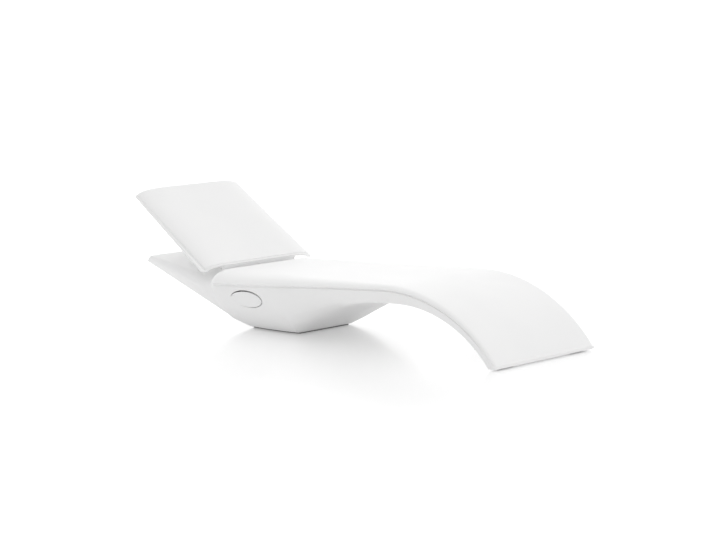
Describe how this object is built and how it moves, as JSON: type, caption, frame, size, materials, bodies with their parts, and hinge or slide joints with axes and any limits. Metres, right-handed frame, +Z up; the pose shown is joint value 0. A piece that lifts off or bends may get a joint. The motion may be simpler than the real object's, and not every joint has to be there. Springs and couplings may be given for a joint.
{
  "type": "sun lounger",
  "caption": "Moulded sun lounger with a swept leg, a keeled hull and a hinged backrest held by a folding prop.",
  "frame": {"origin": "on the floor under the middle of the lounger's bounding box, with the backrest at its rest angle", "axes": "+X towards the foot, +Y to the lounger's side, +Z up"},
  "size_m": [2.0796, 0.728, 0.5927],
  "materials": {
    "white_moulding": "satin white polyethylene moulding",
    "white_cap": "satin white plastic",
    "grey_rubber": "dark rubber",
    "bearing_plastic": "grey bearing plastic",
    "stainless_steel": "brushed stainless steel",
    "brass_insert": "knurled brass"
  },
  "bodies": {
    "base": {"base_shell": "white_moulding", "oval_cap_left": "white_cap", "oval_cap_right": "white_cap", "keel_glides": "grey_rubber", "foot_glides": "grey_rubber", "base_vent_plug": "white_cap", "hinge_axle": "stainless_steel", "hinge_bracket_left": "stainless_steel", "hinge_bracket_right": "stainless_steel", "bracket_bush_left": "bearing_plastic", "bracket_bush_right": "bearing_plastic", "axle_nut_left": "stainless_steel", "axle_nut_right": "stainless_steel", "rack_strip_left": "bearing_plastic", "rack_strip_right": "bearing_plastic", "bracket_bolts": "stainless_steel", "bracket_inserts": "brass_insert", "rack_screws": "stainless_steel", "bump_stops": "grey_rubber"},
    "backrest": {"backrest_shell": "white_moulding", "backrest_vent_plug": "white_cap", "barrel_bush_left": "bearing_plastic", "barrel_bush_right": "bearing_plastic", "prop_bracket_left": "bearing_plastic", "prop_bracket_right": "bearing_plastic", "prop_bracket_screws": "stainless_steel"},
    "prop": {"prop_bail": "stainless_steel", "prop_sleeve": "grey_rubber", "prop_clips": "stainless_steel"}
  },
  "joints": [
    {"name": "backrest_recline", "type": "hinge", "parent": "base", "child": "backrest", "pos_m": [-0.59006, 0, 0.236], "axis": [0, 1, 0], "range_deg": [-25.6, 22]},
    {"name": "prop_swing", "type": "hinge", "parent": "backrest", "child": "prop", "pos_m": [-0.72156, 0, 0.33592], "axis": [0, 1, 0], "range_deg": [-44, 51.2]}
  ],
  "couplings": [
    {"joint": "prop_swing", "follows": "backrest_recline", "ratio": -2}
  ]
}
